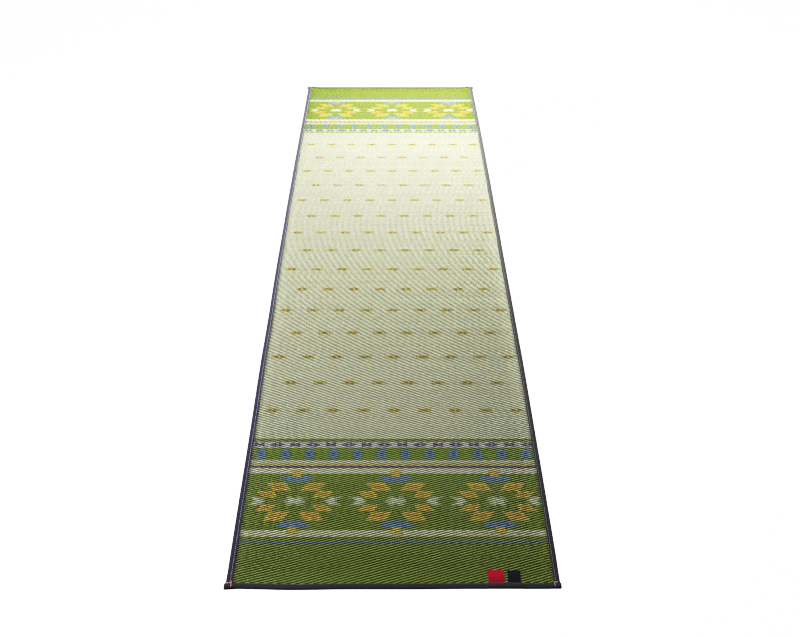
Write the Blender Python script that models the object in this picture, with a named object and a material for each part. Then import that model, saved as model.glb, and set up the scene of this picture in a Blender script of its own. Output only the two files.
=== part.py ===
"""A woven rush mat bound on all four sides with folded cloth tape, with two small sewn-in labels.

The mat lies flat on the floor. The origin is on the floor under the middle of the mat, +Y runs
along the mat from the end that carries the labels, +X runs to the right and +Z points up.
Lengths are in metres.

Every piece is first laid out on a true rectangle, in "mat places": how far across from the
centre line, how far along from the near end, and how high. place() then moves each point to
where the slightly uneven real mat has it, so that neighbours keep their clearance.
"""

import math

import bmesh
import bpy

MM = 0.001

# The whole mat.
WIDTH = 600 * MM
LENGTH = 1800 * MM
ENDS_DRAWN_IN = 6.6 * MM

# The rush sheet: how thick it is in the open and where a tape squeezes it.
SHEET = 2.6 * MM
SQUEEZED_SHEET = 1.9 * MM
RISE_LENGTH = 30 * MM

# The binding tape is folded double, over the edge of the sheet.
TAPE = 1.0 * MM
SIDE_TAPE_WIDTH = 12 * MM
END_TAPE_WIDTH = 10.5 * MM
CLEARANCE = 0.3 * MM
SHEET_INSET = 2.1 * MM
SIDE_TAPE_INSET = 3.2 * MM
FOLD_STEPS = 6

# Heights that follow from the layers.
LIFT = TAPE + CLEARANCE
SIDE_TAPE_HEIGHT = SQUEEZED_SHEET + 2 * LIFT
LAP_RUN = 8 * MM

# How far each end tape's closed corner stands out past the side tape.
CORNER_OUT = {
    ("near", "left"): 2.4 * MM,
    ("near", "right"): 1.5 * MM,
    ("far", "left"): 3.0 * MM,
    ("far", "right"): 2.5 * MM,
}
CORNER_SOFTENING = 0.8 * MM

# Labels lie on the sheet, with their roots under the near tape.
LABEL = 1.0 * MM
LABEL_ROOT = 5.0 * MM
LABEL_RUN = 4 * MM
LABELS = {
    "label_red": {"left": 173 * MM, "width": 28 * MM, "reach": 33.0 * MM},
    "label_dark": {"left": 208 * MM, "width": 23 * MM, "reach": 32.5 * MM},
}

# How far the long edges wander outwards, along the mat.
EDGE_WANDER = [
    {"along": 0.00, "left": 0.3 * MM, "right": -1.2 * MM},
    {"along": 0.04, "left": 0.2 * MM, "right": -0.1 * MM},
    {"along": 0.17, "left": -0.5 * MM, "right": -0.1 * MM},
    {"along": 0.28, "left": 0.4 * MM, "right": 0.3 * MM},
    {"along": 0.36, "left": -0.2 * MM, "right": -0.3 * MM},
    {"along": 0.46, "left": 0.9 * MM, "right": -0.6 * MM},
    {"along": 0.58, "left": 0.0 * MM, "right": -0.6 * MM},
    {"along": 0.70, "left": -0.6 * MM, "right": -0.2 * MM},
    {"along": 0.88, "left": -0.4 * MM, "right": 1.3 * MM},
    {"along": 1.00, "left": 1.0 * MM, "right": 2.0 * MM},
]

# How far the near edge wanders outwards, across the mat. The far edge is straight.
NEAR_WANDER = [
    {"across": -1.00, "out": 1.0 * MM},
    {"across": -0.92, "out": -0.5 * MM},
    {"across": -0.60, "out": 1.25 * MM},
    {"across": -0.25, "out": 0.1 * MM},
    {"across": 0.10, "out": 0.1 * MM},
    {"across": 0.45, "out": -0.7 * MM},
    {"across": 1.00, "out": -0.6 * MM},
]
NEAR_WANDER_FADES = 150 * MM

COLOURS = {
    "woven_rush": (0.52, 0.58, 0.30, 1.0),
    "binding_tape": (0.035, 0.030, 0.085, 1.0),
    "red_label": (0.45, 0.01, 0.03, 1.0),
    "dark_label": (0.02, 0.02, 0.03, 1.0),
}


def ease(share):
    """A smooth step from 0 to 1 as the share goes from 0 to 1."""
    share = min(1.0, max(0.0, share))
    return share * share * (3 - 2 * share)


def read_table(rows, key, value, where):
    """The table's value at a place between its rows, without corners."""
    if where <= rows[0][key]:
        return rows[0][value]
    for before, after in zip(rows, rows[1:]):
        if where <= after[key]:
            share = (where - before[key]) / (after[key] - before[key])
            return before[value] + (after[value] - before[value]) * ease(share)
    return rows[-1][value]


def half_width(side, along):
    """From the centre line to the outer edge, at a distance from the near end."""
    share = min(1.0, max(0.0, along / LENGTH))
    drawn_in = ENDS_DRAWN_IN * (2 * share - 1) ** 2
    return WIDTH / 2 - drawn_in + read_table(EDGE_WANDER, "along", side, share)


def place(point):
    """Moves a point of the true rectangle to where the uneven mat has it."""
    across, along, height = point
    side = "left" if across < 0 else "right"
    x = across * half_width(side, along) / (WIDTH / 2)
    out = read_table(NEAR_WANDER, "across", "out", 2 * across / WIDTH)
    fade = 1 - ease(along / NEAR_WANDER_FADES)
    y = along - LENGTH / 2 - out * fade
    return (x, y, height)


def rise(edge_distance, tape_width):
    """1 where a tape's lower leg lies under the piece, falling to 0 further in."""
    start = tape_width + 0.5 * MM
    return 1 - ease((edge_distance - start) / RISE_LENGTH)


def end_distance(along):
    """Distance to the nearer end of the mat."""
    return min(along, LENGTH - along)


def sheet_height(across, along):
    """Underside and top of the rush sheet at a place on the mat."""
    side_rise = rise(WIDTH / 2 - abs(across), SIDE_TAPE_WIDTH)
    end_rise = rise(end_distance(along), END_TAPE_WIDTH)
    under = LIFT * (side_rise + end_rise)
    squeeze = max(side_rise, end_rise)
    return under, under + SHEET + (SQUEEZED_SHEET - SHEET) * squeeze


def end_stations(inset, length, tape_width):
    """Places along one direction: close together at both tapes, wide apart between them."""
    start = tape_width + 0.5 * MM
    near = [inset, start]
    near += [start + RISE_LENGTH * share for share in (0.25, 0.5, 0.75, 1.0)]
    middle = []
    steps = 20 if length > 1 else 5
    span = length - 2 * near[-1]
    for step in range(1, steps):
        middle.append(near[-1] + span * step / steps)
    far = [length - value for value in reversed(near)]
    return near + middle + far


def add_material(name):
    """A plain cloth material."""
    material = bpy.data.materials.get(name) or bpy.data.materials.new(name)
    material.use_nodes = True
    shader = material.node_tree.nodes["Principled BSDF"]
    shader.inputs["Base Color"].default_value = COLOURS[name]
    shader.inputs["Roughness"].default_value = 0.75
    shader.inputs["Metallic"].default_value = 0.0
    return material


def finish(name, mesh_data, material_name):
    """Turns a bmesh into a named object, with its faces pointing out."""
    bmesh.ops.recalc_face_normals(mesh_data, faces=mesh_data.faces)
    mesh = bpy.data.meshes.new(name)
    mesh_data.to_mesh(mesh)
    mesh_data.free()
    piece = bpy.data.objects.new(name, mesh)
    bpy.context.scene.collection.objects.link(piece)
    mesh.materials.append(add_material(material_name))
    mesh.shade_smooth()
    mesh.set_sharp_from_angle(angle=math.radians(35))
    return piece


def add_grid(mesh_data, rows):
    """Vertices for rows of mat places, as a list of rows."""
    return [[mesh_data.verts.new(place(point)) for point in row] for row in rows]


def skin_grid(mesh_data, grid):
    """Quads between neighbouring rows of vertices."""
    for row, next_row in zip(grid, grid[1:]):
        for step in range(len(row) - 1):
            mesh_data.faces.new((row[step], row[step + 1], next_row[step + 1], next_row[step]))


def join_strips(mesh_data, first, second):
    """Quads between two lists of vertices of one length."""
    for step in range(len(first) - 1):
        mesh_data.faces.new((first[step], first[step + 1], second[step + 1], second[step]))


def slab(name, across_places, along_places, heights, material_name):
    """A closed sheet between an underside and a top, both given by heights(across, along)."""
    mesh_data = bmesh.new()
    lower_rows = []
    upper_rows = []
    for along in along_places:
        lower_rows.append([(across, along, heights(across, along)[0]) for across in across_places])
        upper_rows.append([(across, along, heights(across, along)[1]) for across in across_places])
    lower = add_grid(mesh_data, lower_rows)
    upper = add_grid(mesh_data, upper_rows)
    skin_grid(mesh_data, lower)
    skin_grid(mesh_data, upper)
    join_strips(mesh_data, lower[0], upper[0])
    join_strips(mesh_data, lower[-1], upper[-1])
    join_strips(mesh_data, [row[0] for row in lower], [row[0] for row in upper])
    join_strips(mesh_data, [row[-1] for row in lower], [row[-1] for row in upper])
    return finish(name, mesh_data, material_name)


def fold(height, width, inward):
    """One face of the folded tape's section, from its lower leg round the fold to its upper leg.

    Each point is (distance from the outer edge, height). inward is 0 for the outer face and the
    tape's thickness for the inner one.
    """
    radius = height / 2
    points = [(width, inward)]
    for step in range(FOLD_STEPS + 1):
        angle = math.pi * step / FOLD_STEPS
        reach = (radius - inward) * math.sin(angle)
        rise_here = (radius - inward) * math.cos(angle)
        points.append((radius - reach, radius - rise_here))
    points.append((width, height - inward))
    return points


def side_tape(name, side):
    """The tape down one long side, open at both ends, which lie inside the end tapes."""
    sign = -1 if side == "left" else 1
    mesh_data = bmesh.new()
    stations = end_stations(SIDE_TAPE_INSET, LENGTH, END_TAPE_WIDTH)
    faces = []
    for inward in (0, TAPE):
        rows = []
        for along in stations:
            lift = LIFT * rise(end_distance(along), END_TAPE_WIDTH)
            row = []
            for reach, height in fold(SIDE_TAPE_HEIGHT, SIDE_TAPE_WIDTH, inward):
                row.append((sign * (WIDTH / 2 - reach), along, height + lift))
            rows.append(row)
        grid = add_grid(mesh_data, rows)
        skin_grid(mesh_data, grid)
        faces.append(grid)
    outer, inner = faces
    join_strips(mesh_data, outer[0], inner[0])
    join_strips(mesh_data, outer[-1], inner[-1])
    join_strips(mesh_data, [row[0] for row in outer], [row[0] for row in inner])
    join_strips(mesh_data, [row[-1] for row in outer], [row[-1] for row in inner])
    return finish(name, mesh_data, "binding_tape")


def lap_share(across):
    """1 over a side tape, falling to 0 beside it."""
    inner_edge = WIDTH / 2 - SIDE_TAPE_WIDTH - 2 * CLEARANCE
    return 1 - ease((inner_edge - abs(across)) / LAP_RUN)


def label_share(across):
    """1 over the roots of the labels, falling to 0 beside them."""
    first = min(label["left"] for label in LABELS.values()) - 2 * CLEARANCE
    last = max(label["left"] + label["width"] for label in LABELS.values()) + 2 * CLEARANCE
    outside = max(first - across, across - last, 0)
    return 1 - ease(outside / LABEL_RUN)


def end_tape_height(end, across):
    """Height of the end tape's fold: over the sheet, the side tapes and the labels' roots."""
    height = sheet_height(across, 0)[1] + LIFT + LIFT * lap_share(across)
    if end == "near":
        height += (LABEL + CLEARANCE) * label_share(across)
    return height


def end_tape_stations(end):
    """Places across the mat where the end tape's section changes or the mat's edge bends."""
    inner_edge = WIDTH / 2 - SIDE_TAPE_WIDTH - 2 * CLEARANCE
    shares = (0.0, 0.25, 0.5, 0.75, 1.0)
    half = [inner_edge - LAP_RUN * share for share in shares]
    raised = WIDTH / 2 - SIDE_TAPE_WIDTH - 0.5 * MM
    half += [raised - RISE_LENGTH * share for share in shares[2:]]
    plain = half[-1]
    places = half + [-value for value in half]
    steps = 12
    for step in range(1, steps):
        places.append(-plain + 2 * plain * step / steps)
    if end == "near":
        first = min(label["left"] for label in LABELS.values()) - 2 * CLEARANCE
        last = max(label["left"] + label["width"] for label in LABELS.values()) + 2 * CLEARANCE
        places = [value for value in places if not first - 2 * LABEL_RUN < value < last + 2 * LABEL_RUN]
        places += [first - LABEL_RUN * share for share in shares]
        places += [last + LABEL_RUN * share for share in shares]
    return sorted(places)


def end_tape(name, end):
    """The tape across one end, folded over the ends of the side tapes and closed at its corners."""
    mesh_data = bmesh.new()
    left_end = -(WIDTH / 2 + CORNER_OUT[(end, "left")])
    right_end = WIDTH / 2 + CORNER_OUT[(end, "right")]
    stations = end_tape_stations(end)

    def section(across, inward, trim):
        height = end_tape_height(end, across)
        row = []
        for reach, level in fold(height, END_TAPE_WIDTH, inward):
            reach = max(reach, trim)
            level = min(max(level, trim), height - trim)
            along = reach if end == "near" else LENGTH - reach
            row.append((across, along, level))
        return row

    soft = CORNER_SOFTENING
    outer_rows = [section(left_end, 0, soft / 2), section(left_end + soft, 0, 0)]
    outer_rows += [section(across, 0, 0) for across in stations]
    outer_rows += [section(right_end - soft, 0, 0), section(right_end, 0, soft / 2)]
    inner_rows = [section(left_end + TAPE, TAPE, 0)]
    inner_rows += [section(across, TAPE, 0) for across in stations]
    inner_rows += [section(right_end - TAPE, TAPE, 0)]
    outer = add_grid(mesh_data, outer_rows)
    inner = add_grid(mesh_data, inner_rows)
    skin_grid(mesh_data, outer)
    skin_grid(mesh_data, inner)
    for grid in (outer, inner):
        mesh_data.faces.new(grid[0])
        mesh_data.faces.new(grid[-1])
    for tip in (0, -1):
        outer_tip = [row[tip] for row in outer]
        inner_tip = [row[tip] for row in inner]
        mesh_data.faces.new((outer_tip[0], outer_tip[1], inner_tip[0]))
        join_strips(mesh_data, outer_tip[1:-1], inner_tip)
        mesh_data.faces.new((outer_tip[-1], outer_tip[-2], inner_tip[-1]))
    for row in (0, -1):
        corners = (outer[row][0], outer[row][-1], inner[row][-1], inner[row][0])
        mesh_data.faces.new(corners)
    return finish(name, mesh_data, "binding_tape")


def rush_sheet():
    """The woven sheet, squeezed and lifted a little where the tapes hold it."""
    inset = SHEET_INSET
    across = [value - WIDTH / 2 for value in end_stations(inset, WIDTH, SIDE_TAPE_WIDTH)]
    along = end_stations(inset, LENGTH, END_TAPE_WIDTH)
    return slab("mat_sheet", across, along, sheet_height, "woven_rush")


def label_tab(name, material_name):
    """One sewn-in label, flat on the sheet, its root under the near tape."""
    label = LABELS[name]

    def heights(across, along):
        under = sheet_height(across, along)[1] + CLEARANCE
        return under, under + LABEL

    rise_start = END_TAPE_WIDTH + 0.5 * MM
    along_places = [LABEL_ROOT, rise_start]
    steps = 4
    for step in range(1, steps + 1):
        along_places.append(rise_start + (label["reach"] - rise_start) * step / steps)
    across_places = [label["left"], label["left"] + label["width"] / 2, label["left"] + label["width"]]
    return slab(name, across_places, along_places, heights, material_name)


def build():
    """Clears the scene and makes every piece of the mat."""
    for piece in list(bpy.data.objects):
        bpy.data.objects.remove(piece, do_unlink=True)
    rush_sheet()
    side_tape("binding_left", "left")
    side_tape("binding_right", "right")
    end_tape("binding_near", "near")
    end_tape("binding_far", "far")
    label_tab("label_red", "red_label")
    label_tab("label_dark", "dark_label")


build()
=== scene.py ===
"""Dresses a woven rush mat: its twill weave with coloured bands, its binding, sewing and labels.

Lengths are in metres. Every piece is laid out on a true rectangle, by its place across from the
centre line, along from the near end and up, and place() then moves it to the uneven real mat.
"""

import math

import bpy
import numpy as np
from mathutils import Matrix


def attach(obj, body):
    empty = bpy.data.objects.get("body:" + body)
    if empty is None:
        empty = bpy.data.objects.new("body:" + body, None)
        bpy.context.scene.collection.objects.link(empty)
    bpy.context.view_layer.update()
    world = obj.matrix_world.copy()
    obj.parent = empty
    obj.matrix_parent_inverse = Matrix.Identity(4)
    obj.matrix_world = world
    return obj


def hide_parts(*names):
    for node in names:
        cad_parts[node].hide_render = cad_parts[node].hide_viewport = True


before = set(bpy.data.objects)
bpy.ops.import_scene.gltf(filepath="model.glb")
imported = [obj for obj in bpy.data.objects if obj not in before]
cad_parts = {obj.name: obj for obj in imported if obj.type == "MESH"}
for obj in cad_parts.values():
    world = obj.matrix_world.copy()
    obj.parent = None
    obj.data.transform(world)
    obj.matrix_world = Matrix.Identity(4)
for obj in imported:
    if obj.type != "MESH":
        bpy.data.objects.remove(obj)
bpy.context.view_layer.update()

MM = 0.001
BODY = "root"

# The mat and its layers.
WIDTH = 600 * MM
LENGTH = 1800 * MM
ENDS_DRAWN_IN = 6.6 * MM
SHEET = 2.6 * MM
SQUEEZED_SHEET = 1.9 * MM
RISE_LENGTH = 30 * MM
TAPE = 1.0 * MM
SIDE_TAPE_WIDTH = 12 * MM
END_TAPE_WIDTH = 10.5 * MM
CLEARANCE = 0.3 * MM
SHEET_INSET = 2.1 * MM
SIDE_TAPE_INSET = 3.2 * MM
LIFT = TAPE + CLEARANCE
SIDE_TAPE_HEIGHT = SQUEEZED_SHEET + 2 * LIFT
LAP_RUN = 8 * MM
CORNER_OUT = {
    ("near", "left"): 2.4 * MM,
    ("near", "right"): 1.5 * MM,
    ("far", "left"): 3.0 * MM,
    ("far", "right"): 2.5 * MM,
}
LABEL = 1.0 * MM
LABEL_ROOT = 5.0 * MM
LABEL_RUN = 4 * MM
LABELS = {
    "label_red": {"left": 171.8 * MM, "width": 28 * MM, "reach": 32.0 * MM},
    "label_dark": {"left": 206.8 * MM, "width": 23 * MM, "reach": 31.8 * MM},
}
EDGE_WANDER = {
    "along": (0.00, 0.04, 0.17, 0.28, 0.36, 0.46, 0.58, 0.70, 0.88, 1.00),
    "left": (0.3, 0.2, -0.5, 0.4, -0.2, 0.9, 0.0, -0.6, -0.4, 1.0),
    "right": (-1.2, -0.1, -0.1, 0.3, -0.3, -0.6, -0.6, -0.2, 1.3, 2.0),
}
NEAR_WANDER = {
    "across": (-1.00, -0.92, -0.60, -0.25, 0.10, 0.45, 1.00),
    "out": (1.0, -0.5, 1.25, 0.1, 0.1, -0.7, -0.6),
}
NEAR_WANDER_FADES = 150 * MM

# The weave: rush rows run across the mat, over three cotton warps and under one.
WARPS = 145
ROWS = 1600
SHEET_PIECES = 4
ROWS_A_PIECE = ROWS // SHEET_PIECES
TWILL = 4
WARP_PITCH = (WIDTH - 2 * SHEET_INSET) / WARPS
ROW_PITCH = (LENGTH - 2 * SHEET_INSET) / ROWS
# Height of a rush against the sheet's top where it dives, beside the dive and in mid float.
FLOAT_HEIGHTS = (-1.6 * MM, -0.1 * MM, 0.42 * MM, -0.1 * MM)

# The folded tapes in sight: the leg's width, where the fold starts to turn, and how far the fold
# stands out past the solid's edge. The side tapes do that in the far half only.
SIDE_LEG = 11 * MM
SIDE_TURN = 4 * MM
SIDE_SWELL = 2.0 * MM
END_LEG = 9.3 * MM
END_TURN = 5.2 * MM
END_SWELL = {"near": 0.8 * MM, "far": 0.4 * MM}
CORNER_SOFTENS = 2.0 * MM

# Sewing thread, its radius, and how far from the mat's edge it runs.
STITCH_PITCH = 3.6 * MM
STITCH_LENGTH = 2.2 * MM
STITCH_SLIP = 0.12 * MM
STITCH_REACH = 8.2 * MM
END_STITCH_REACH = 8.3 * MM
UNDER_STITCH = 0.25 * MM
THREAD = 0.4 * MM
END_THREAD = 0.28 * MM
TACK_THREAD = 0.3 * MM
THREAD_SIDES = 5
TACK_PITCH = 0.62 * MM
TACK_HALF = 0.8 * MM
TACK_INNER_EDGE = 10.6 * MM
TACK_SLANT = 0.25 * MM
TACK_SLIP = 0.1 * MM

# The camera, as the photograph was taken: level, with the picture cropped a little off centre.
CAMERA_PLACE = (-0.011, -1.3353, 1.1537)
CAMERA_DOWN = 46.77
CAMERA_LENS = 29.36
CAMERA_SHIFT = 0.0161

# The picture's tones: light in the scene and what is shown for it.
HIGHEST_LIGHT = 3.0
SHOULDER = ((0.3, 0.3), (0.6, 0.585), (0.95, 0.76), (1.4, 0.9), (2.0, 0.985))


# Shader maths: sockets with operators.


class Value:
    """A number in a shader, with Python's operators on it."""

    def __init__(self, tree, socket):
        self.tree = tree
        self.socket = socket

    def maths(self, operation, *others):
        """A Math node on this value and others, as a new value."""
        node = self.tree.nodes.new("ShaderNodeMath")
        node.operation = operation
        for place_in_node, item in enumerate((self,) + others):
            connect(self.tree, item, node.inputs[place_in_node])
        return Value(self.tree, node.outputs[0])

    def __add__(self, other):
        return self.maths("ADD", other)

    def __radd__(self, other):
        return self.maths("ADD", other)

    def __sub__(self, other):
        return self.maths("SUBTRACT", other)

    def __rsub__(self, other):
        return (self * -1.0).maths("ADD", other)

    def __mul__(self, other):
        return self.maths("MULTIPLY", other)

    def __rmul__(self, other):
        return self.maths("MULTIPLY", other)

    def __truediv__(self, other):
        return self.maths("DIVIDE", other)

    def part(self):
        """What the value has after its point."""
        return self.maths("FRACT")

    def whole(self):
        """The whole number below the value."""
        return self.maths("FLOOR")

    def size(self):
        """The value without its sign."""
        return self.maths("ABSOLUTE")

    def step(self, low, high):
        """0 below low, 1 above high and smooth between them."""
        node = self.tree.nodes.new("ShaderNodeMapRange")
        node.interpolation_type = "SMOOTHSTEP"
        connect(self.tree, self, node.inputs["Value"])
        node.inputs["From Min"].default_value = low
        node.inputs["From Max"].default_value = high
        return Value(self.tree, node.outputs["Result"])


def connect(tree, item, socket):
    """Puts a value, a number or a colour into a socket."""
    if isinstance(item, Value):
        tree.links.new(item.socket, socket)
    else:
        socket.default_value = item


class Finish:
    """One material on a Principled shader, with short ways to add nodes."""

    def __init__(self, name, roughness, **constants):
        self.material = bpy.data.materials.new(name)
        self.material.use_nodes = True
        self.tree = self.material.node_tree
        self.shader = self.tree.nodes["Principled BSDF"]
        self.shader.inputs["Roughness"].default_value = roughness
        for socket, number in constants.items():
            self.shader.inputs[socket.replace("_", " ")].default_value = number

    def node(self, kind, output=0, settings=None, **inputs):
        """A new node of a kind, its settings first and then its sockets, as its output's value."""
        made = self.tree.nodes.new(kind)
        for key, setting in (settings or {}).items():
            setattr(made, key, setting)
        for key, item in inputs.items():
            connect(self.tree, item, made.inputs[key.replace("_", " ")])
        return Value(self.tree, made.outputs[output])

    def blend(self, share, first, second, way="MIX"):
        """A mix of two colours."""
        made = self.tree.nodes.new("ShaderNodeMix")
        made.data_type = "RGBA"
        made.blend_type = way
        connect(self.tree, share, made.inputs[0])
        connect(self.tree, first, made.inputs[6])
        connect(self.tree, second, made.inputs[7])
        return Value(self.tree, made.outputs[2])

    def dim(self, colour, factor):
        """A colour times a number."""
        made = self.tree.nodes.new("ShaderNodeVectorMath")
        made.operation = "SCALE"
        connect(self.tree, colour, made.inputs[0])
        connect(self.tree, factor, made.inputs["Scale"])
        return Value(self.tree, made.outputs[0])

    def noise(self, vector, scale, detail=2.0):
        """Blender's noise as a value from 0 to 1."""
        return self.node("ShaderNodeTexNoise", Vector=vector, Scale=scale, Detail=detail)

    def place(self, x, y, z):
        """A vector of three values."""
        return self.node("ShaderNodeCombineXYZ", X=x, Y=y, Z=z)

    def split(self, vector):
        """A vector's three values."""
        made = self.tree.nodes.new("ShaderNodeSeparateXYZ")
        connect(self.tree, vector, made.inputs[0])
        return [Value(self.tree, output) for output in made.outputs]

    def give(self, socket, item):
        """Feeds one of the shader's own sockets."""
        connect(self.tree, item, self.shader.inputs[socket])

    def bump(self, height, distance, strength=1.0):
        """Feeds the shader's normal from a height."""
        bumped = self.node(
            "ShaderNodeBump", Height=height, Distance=distance, Strength=strength
        )
        self.give("Normal", bumped)


def linear(red, green, blue):
    """A colour as a screen shows it, each part from 0 to 255, as the shader's linear colour."""
    colour = []
    for value in (red, green, blue):
        share = value / 255
        colour.append(((share + 0.055) / 1.055) ** 2.4 if share > 0.04 else share / 12.92)
    return (*colour, 1.0)


# The uneven mat, worked out for whole arrays of points.


def ease(share):
    """A smooth step from 0 to 1 as the share goes from 0 to 1."""
    share = np.clip(share, 0.0, 1.0)
    return share * share * (3 - 2 * share)


def read_table(places, values, where):
    """The table's value in millimetres at each place, without corners."""
    places = np.array(places)
    values = np.array(values)
    where = np.clip(where, places[0], places[-1])
    after = np.clip(np.searchsorted(places, where), 1, len(places) - 1)
    share = (where - places[after - 1]) / (places[after] - places[after - 1])
    return values[after - 1] + (values[after] - values[after - 1]) * ease(share)


def half_width(side, along):
    """From the centre line to the outer edge, at a distance from the near end."""
    share = np.clip(along / LENGTH, 0.0, 1.0)
    drawn_in = ENDS_DRAWN_IN * (2 * share - 1) ** 2
    return WIDTH / 2 - drawn_in + MM * read_table(EDGE_WANDER["along"], EDGE_WANDER[side], share)


def place(across, along, height):
    """Moves points of the true rectangle to where the uneven mat has them."""
    across, along, height = np.broadcast_arrays(across, along, height)
    widths = np.where(across < 0, half_width("left", along), half_width("right", along))
    out = MM * read_table(NEAR_WANDER["across"], NEAR_WANDER["out"], 2 * across / WIDTH)
    fade = 1 - ease(along / NEAR_WANDER_FADES)
    x = across * widths / (WIDTH / 2)
    y = along - LENGTH / 2 - out * fade
    return np.stack((x, y, height), axis=-1).reshape(-1, 3)


def rise(edge_distance, tape_width):
    """1 where a tape's lower leg lies under the piece, falling to 0 further in."""
    start = tape_width + 0.5 * MM
    return 1 - ease((edge_distance - start) / RISE_LENGTH)


def end_distance(along):
    """Distance to the nearer end of the mat."""
    return np.minimum(along, LENGTH - along)


def sheet_squeeze(across, along):
    """How far the tapes squeeze the sheet, from 0 to 1, and the height that they lift it to."""
    side_rise = rise(WIDTH / 2 - np.abs(across), SIDE_TAPE_WIDTH)
    end_rise = rise(end_distance(along), END_TAPE_WIDTH)
    return np.maximum(side_rise, end_rise), LIFT * (side_rise + end_rise)


def sheet_top(across, along):
    """Height of the sheet's top."""
    squeeze, under = sheet_squeeze(across, along)
    return under + SHEET + (SQUEEZED_SHEET - SHEET) * squeeze


# Meshes from arrays.


def make_piece(name, points, faces, finish, smooth_angle=50):
    """A mesh object at the origin that rides with the mat."""
    mesh = bpy.data.meshes.new(name)
    mesh.from_pydata(np.asarray(points, dtype=float).tolist(), [], faces)
    mesh.validate()
    mesh.materials.append(finish)
    mesh.shade_smooth()
    mesh.set_sharp_from_angle(angle=math.radians(smooth_angle))
    piece = bpy.data.objects.new(name, mesh)
    bpy.context.scene.collection.objects.link(piece)
    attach(piece, BODY)
    return piece


def grid_faces(first, rows, columns, flip=False):
    """Quads of a grid of points numbered row by row from first."""
    corner = first + np.arange((rows - 1) * columns).reshape(rows - 1, columns)[:, :-1].ravel()
    quads = np.stack((corner, corner + 1, corner + columns + 1, corner + columns), axis=1)
    if flip:
        quads = quads[:, ::-1]
    return quads.tolist()


def strip_faces(first_line, second_line):
    """Quads between two lines of point numbers."""
    return list(zip(first_line, first_line[1:], second_line[1:], second_line))


# The chart of the woven pattern.

YARNS = {
    "green": linear(134, 155, 58),
    "leaf": linear(136, 162, 56),
    "cream": linear(217, 222, 193),
    "pale": linear(219, 229, 188),
    "blue": linear(123, 155, 184),
    "sage": linear(112, 146, 126),
    "haze": linear(124, 152, 166),
    "navy": linear(104, 122, 172),
    "slate": linear(104, 110, 140),
    "gold": linear(224, 202, 92),
    "ochre": linear(214, 172, 65),
    "amber": linear(220, 194, 120),
    "bronze": linear(206, 192, 116),
    "olive": linear(164, 150, 74),
    "straw": linear(210, 200, 98),
    "purple": linear(116, 104, 136),
    "mist": linear(214, 207, 210),
    "lavender": linear(170, 168, 200),
    "white": linear(226, 232, 200),
    "frost": linear(186, 202, 148),
    "teal": linear(112, 138, 176),
}
YARN_NUMBERS = {yarn: number for number, yarn in enumerate(YARNS)}

# The middle of the woven design along the mat. The far end was trimmed a little shorter.
DESIGN_MIDDLE = 903 * MM

# The rows aren't beaten equally close: how far the design lies towards the near end, in
# millimetres, at shares of the mat's length.
BEATING = {
    "along": (0.0, 0.05, 0.135, 0.165, 0.23, 0.45, 0.5, 0.83, 0.85, 0.91, 0.945, 1.0),
    "early": (0.0, 1.1, 3.1, 4.6, 5.4, 5.4, 4.6, 5.0, 4.5, 1.4, 1.7, 1.7),
}

# Bands from each end towards the middle: the yarn up to each place.
BANDS = [
    {"to": 84.0, "yarn": "green"},
    {"to": 87.2, "yarn": "teal"},
    {"to": 96.0, "yarn": "green"},
    {"to": 109.0, "yarn": "pale"},
    {"to": 228.0, "yarn": "green"},
    {"to": 241.0, "yarn": "white"},
    {"to": 246.4, "yarn": "purple"},
    {"to": 247.8, "yarn": "cream"},
    {"to": 252.4, "yarn": "straw"},
    {"to": 258.5, "yarn": "cream"},
    {"to": 289.0, "yarn": "leaf"},
    {"to": 291.0, "yarn": "cream"},
    {"to": 302.0, "yarn": "mist"},
    {"to": 303.5, "yarn": "cream"},
    {"to": 310.5, "yarn": "green"},
    {"to": 1000.0, "yarn": "cream"},
]

# One quarter of the medallion, in millimetres from its middle. The other three mirror it.
MEDALLION_AT = 168.5
MEDALLION_COLUMNS = (26, 74, 122)
MEDALLION = [
    {"yarn": "gold", "corners": ((22, 40), (59, 40), (45, 22), (8, 22))},
    {"yarn": "ochre", "corners": ((25, 34), (50, 34), (44, 27), (18, 27))},
    {"yarn": "gold", "corners": ((44, 21), (76, 21), (61, 7.5), (34, 7.5))},
    {"yarn": "ochre", "corners": ((46, 17), (67, 17), (60, 11), (42, 11))},
    {"yarn": "blue", "corners": ((0, 40.5), (21, 40.5), (33, 54), (0, 54))},
    {"yarn": "gold", "corners": ((0, 53), (6, 53), (12.5, 67.5), (0, 67.5))},
    {"yarn": "frost", "corners": ((0, 0), (22, 0), (19, 3.5), (0, 3.5))},
    {"yarn": "frost", "corners": ((0, 0), (14, 0), (16, 9.5), (4, 9.5))},
    {"yarn": "white", "corners": ((0, 0), (12, 0), (9, 6.5), (0, 6.5))},
    {"yarn": "frost", "corners": ((58, 0), (78, 0), (93, 9.5), (69, 9.5))},
    {"yarn": "white", "corners": ((61, 0), (77, 0), (83, 6), (67, 6))},
]

# The rows of small squares and border motifs: how far from the end, in millimetres, and the first
# one's place and the pitch, in warps.
SQUARES = {"at": 274.0, "first": 7.0, "pitch": 12, "count": 12}
BORDER_MOTIFS = {"at": 296.5, "first": 5.5, "pitch": 9, "count": 16}

# A square's layers: half its width and half its height in millimetres.
SQUARE_LAYERS = [
    {"yarn": "sage", "wide": 6.2, "high": 12.5},
    {"yarn": "sage", "wide": 10.5, "high": 7.5},
    {"yarn": "haze", "wide": 6.2, "high": 9.5},
    {"yarn": "blue", "wide": 6.2, "high": 6.5},
    {"yarn": "navy", "wide": 2.1, "high": 5.6},
]

# The field's rows hold nine motifs and eight in turn. FIELD_FIRST has the warp of the first.
FIELD_PITCH = 74.36 * MM
FIELD_ROWS = 15
FIELD_MOTIF_PITCH = 16
FIELD_FIRST = {9: 9.5, 8: 17.5}

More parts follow.
